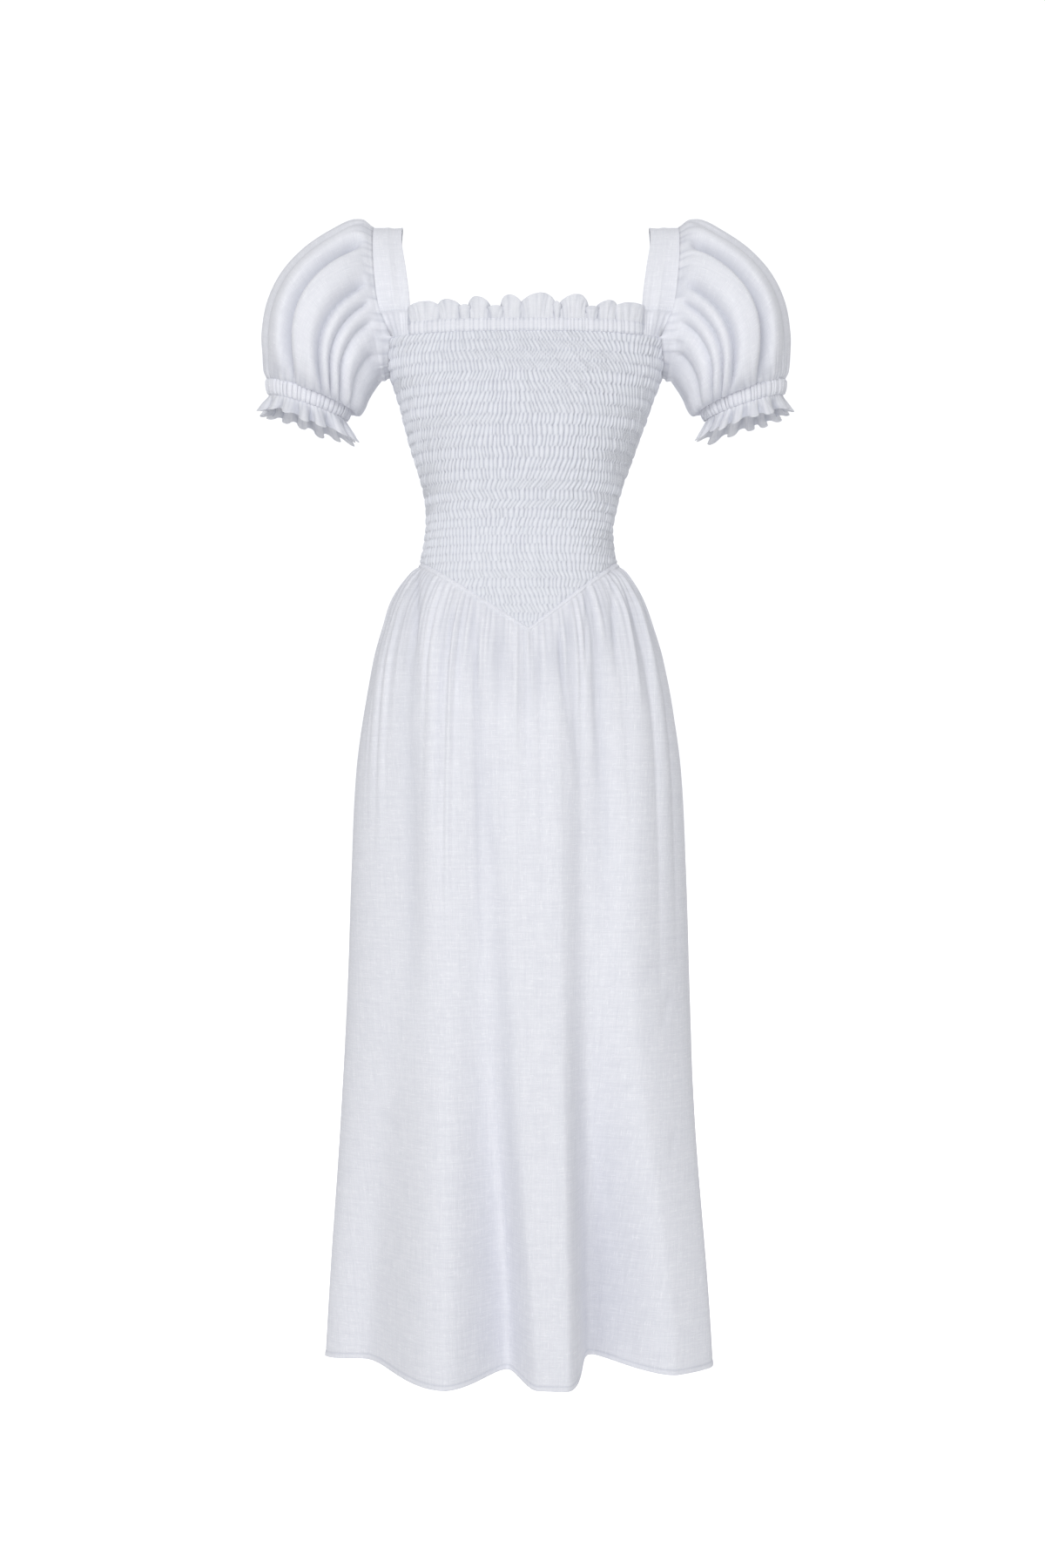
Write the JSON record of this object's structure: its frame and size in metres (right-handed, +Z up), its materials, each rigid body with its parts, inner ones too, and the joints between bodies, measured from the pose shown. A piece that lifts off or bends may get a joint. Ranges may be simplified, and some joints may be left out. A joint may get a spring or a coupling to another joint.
{
  "type": "linen dress",
  "caption": "White linen midi dress with a square ruffled neck, smocked bodice with a pointed waist, puff sleeves and a gathered skirt, in its worn form.",
  "frame": {"origin": "midway between the tops of the two shoulder straps, where a wearer's shoulders hold the dress", "axes": "+Z up along the dress's length, -Y the way the wearer faces, +X the wearer's left"},
  "size_m": [0.6088, 0.3671, 1.3092],
  "materials": {
    "bodice_front": "smocked plain-weave linen, white, matt",
    "bodice_back": "smocked plain-weave linen, white, matt",
    "neck_casing_front": "gathered elastic casing of white linen",
    "neck_casing_back": "gathered elastic casing of white linen",
    "neck_ruffle_front": "free ruffled edge of white linen",
    "neck_ruffle_back": "free ruffled edge of white linen",
    "strap_left": "two layers of white linen",
    "strap_right": "two layers of white linen",
    "sleeve_left": "white plain-weave linen, matt",
    "sleeve_right": "white plain-weave linen, matt",
    "cuff_left": "gathered elastic casing of white linen",
    "cuff_right": "gathered elastic casing of white linen",
    "cuff_ruffle_left": "free ruffled edge of white linen",
    "cuff_ruffle_right": "free ruffled edge of white linen",
    "skirt_front": "white plain-weave linen, matt",
    "skirt_back": "white plain-weave linen, matt"
  },
  "bodies": {
    "root": {"bodice_front": "bodice_front", "bodice_back": "bodice_back", "neck_casing_front": "neck_casing_front", "neck_casing_back": "neck_casing_back", "neck_ruffle_front": "neck_ruffle_front", "neck_ruffle_back": "neck_ruffle_back", "strap_left": "strap_left", "strap_right": "strap_right", "sleeve_left": "sleeve_left", "sleeve_right": "sleeve_right", "cuff_left": "cuff_left", "cuff_right": "cuff_right", "cuff_ruffle_left": "cuff_ruffle_left", "cuff_ruffle_right": "cuff_ruffle_right", "skirt_front": "skirt_front", "skirt_back": "skirt_back"}
  },
  "joints": []
}
